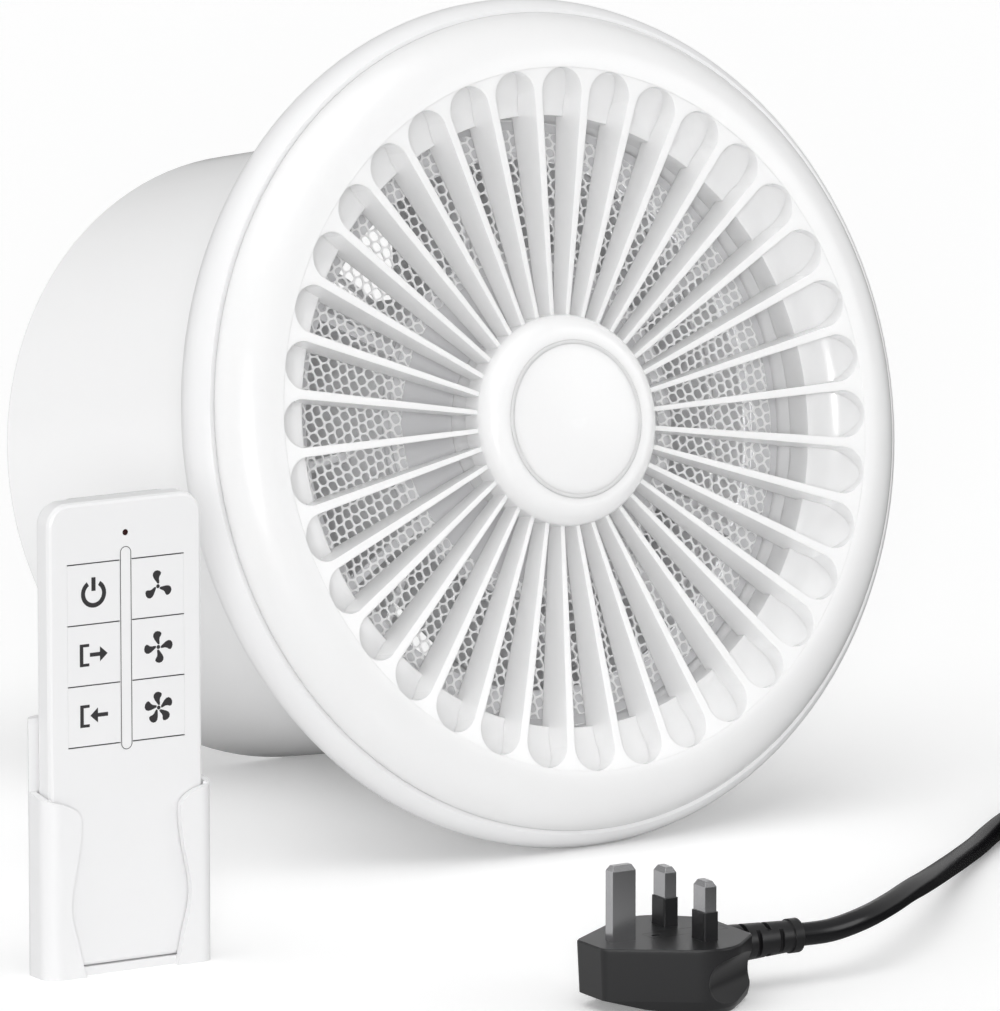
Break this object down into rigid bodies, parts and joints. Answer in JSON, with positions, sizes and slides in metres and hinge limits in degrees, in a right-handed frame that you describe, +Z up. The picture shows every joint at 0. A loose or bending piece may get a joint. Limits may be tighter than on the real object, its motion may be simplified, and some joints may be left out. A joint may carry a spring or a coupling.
{
  "type": "exhaust fan",
  "caption": "Duct exhaust fan with a round finned front panel, insect screen and motor-driven impeller, with a remote control in its wall holder and a coiled mains lead.",
  "frame": {"origin": "middle of the fan and the remote holder on the floor, with the mains lead left out", "axes": "+Z up from the floor, -Y towards the front, +X to the right seen from the front; the fan leans back on its bezel rim and the rear edge of its duct"},
  "size_m": [0.5186, 0.4158, 0.2624],
  "materials": {
    "white_gloss": "glossy white moulded plastic",
    "white_satin": "satin white moulded plastic",
    "white_mesh": "white woven plastic mesh",
    "black_plug": "satin black moulded plastic",
    "black_cord": "smooth black cord sheath",
    "black_rubber": "soft black rubber",
    "foam": "dark grey closed-cell foam",
    "bright_pin": "bright plated metal",
    "zinc_steel": "zinc-plated steel",
    "lamination": "stacked steel laminations",
    "enamel_copper": "enamelled copper wire",
    "circuit_board": "green circuit board",
    "lamp_red": "dark red lamp lens",
    "strap": "black woven strap"
  },
  "bodies": {
    "fan_body": {"duct_housing": "white_gloss", "mounting_flange": "white_gloss", "flange_gasket": "foam", "flange_screws": "zinc_steel", "panel_grommets": "black_rubber", "motor_mount": "white_satin", "mount_screws": "zinc_steel", "motor_shell": "zinc_steel", "motor_end_bell": "zinc_steel", "motor_stator": "lamination", "motor_windings": "enamel_copper", "front_bearing": "zinc_steel", "rear_bearing": "zinc_steel", "motor_screws": "zinc_steel", "control_board": "circuit_board", "board_screws": "zinc_steel", "driver_cover": "white_satin", "rear_guard": "white_satin", "lead_sleeve": "white_satin", "inner_lead": "black_rubber", "inlet_housing": "white_gloss", "power_inlet": "black_plug", "inlet_pins": "bright_pin", "lead_connector": "black_plug", "cord_tail": "black_cord", "cord_coil": "black_cord", "cord_tie": "strap", "cord_plug_run": "black_cord", "plug_strain_relief": "black_plug", "plug_body": "black_plug", "plug_earth_pin": "bright_pin", "plug_live_pin": "bright_pin", "plug_neutral_pin": "bright_pin", "plug_pin_sleeves": "black_plug", "plug_fuse_carrier": "black_plug", "remote_holder": "white_satin"},
    "front_panel": {"front_grille": "white_gloss", "hub_cap": "white_gloss", "insect_mesh": "white_mesh", "screen_frame": "white_satin", "screen_screws": "zinc_steel"},
    "rotor": {"impeller": "white_satin", "motor_rotor": "lamination", "motor_shaft": "zinc_steel", "impeller_washer": "zinc_steel", "impeller_nut": "zinc_steel"},
    "remote": {"remote_front_shell": "white_gloss", "remote_rear_shell": "white_gloss", "remote_board": "circuit_board", "remote_led": "lamp_red", "remote_battery": "bright_pin"},
    "battery_cover": {"remote_battery_cover": "white_gloss"},
    "key_power": {"key_power": "white_gloss"},
    "key_out": {"key_out": "white_gloss"},
    "key_in": {"key_in": "white_gloss"},
    "key_speed_1": {"key_speed_1": "white_gloss"},
    "key_speed_2": {"key_speed_2": "white_gloss"},
    "key_speed_3": {"key_speed_3": "white_gloss"}
  },
  "joints": [
    {"name": "front_panel_pull", "type": "slide", "parent": "fan_body", "child": "front_panel", "axis": [0, -0.9774, 0.2116], "range_m": [0, 0.06]},
    {"name": "impeller_spin", "type": "hinge", "parent": "fan_body", "child": "rotor", "pos_m": [0.05391, 0.05158, 0.11023], "axis": [0, -0.9774, 0.2116], "continuous": true},
    {"name": "remote_lift", "type": "slide", "parent": "fan_body", "child": "remote", "axis": [0, 0, 1], "range_m": [0, 0.07]},
    {"name": "battery_cover_slide", "type": "slide", "parent": "remote", "child": "battery_cover", "axis": [0, 0, 1], "range_m": [0, 0.036]},
    {"name": "key_power_press", "type": "slide", "parent": "remote", "child": "key_power", "axis": [0.0698, 0.9976, 0], "range_m": [0, 0.0004], "stiffness_N_per_m": 600, "springref_m": -0.0003},
    {"name": "key_out_press", "type": "slide", "parent": "remote", "child": "key_out", "axis": [0.0698, 0.9976, 0], "range_m": [0, 0.0004], "stiffness_N_per_m": 600, "springref_m": -0.0003},
    {"name": "key_in_press", "type": "slide", "parent": "remote", "child": "key_in", "axis": [0.0698, 0.9976, 0], "range_m": [0, 0.0004], "stiffness_N_per_m": 600, "springref_m": -0.0003},
    {"name": "key_speed_1_press", "type": "slide", "parent": "remote", "child": "key_speed_1", "axis": [0.0698, 0.9976, 0], "range_m": [0, 0.0004], "stiffness_N_per_m": 600, "springref_m": -0.0003},
    {"name": "key_speed_2_press", "type": "slide", "parent": "remote", "child": "key_speed_2", "axis": [0.0698, 0.9976, 0], "range_m": [0, 0.0004], "stiffness_N_per_m": 600, "springref_m": -0.0003},
    {"name": "key_speed_3_press", "type": "slide", "parent": "remote", "child": "key_speed_3", "axis": [0.0698, 0.9976, 0], "range_m": [0, 0.0004], "stiffness_N_per_m": 600, "springref_m": -0.0003}
  ]
}
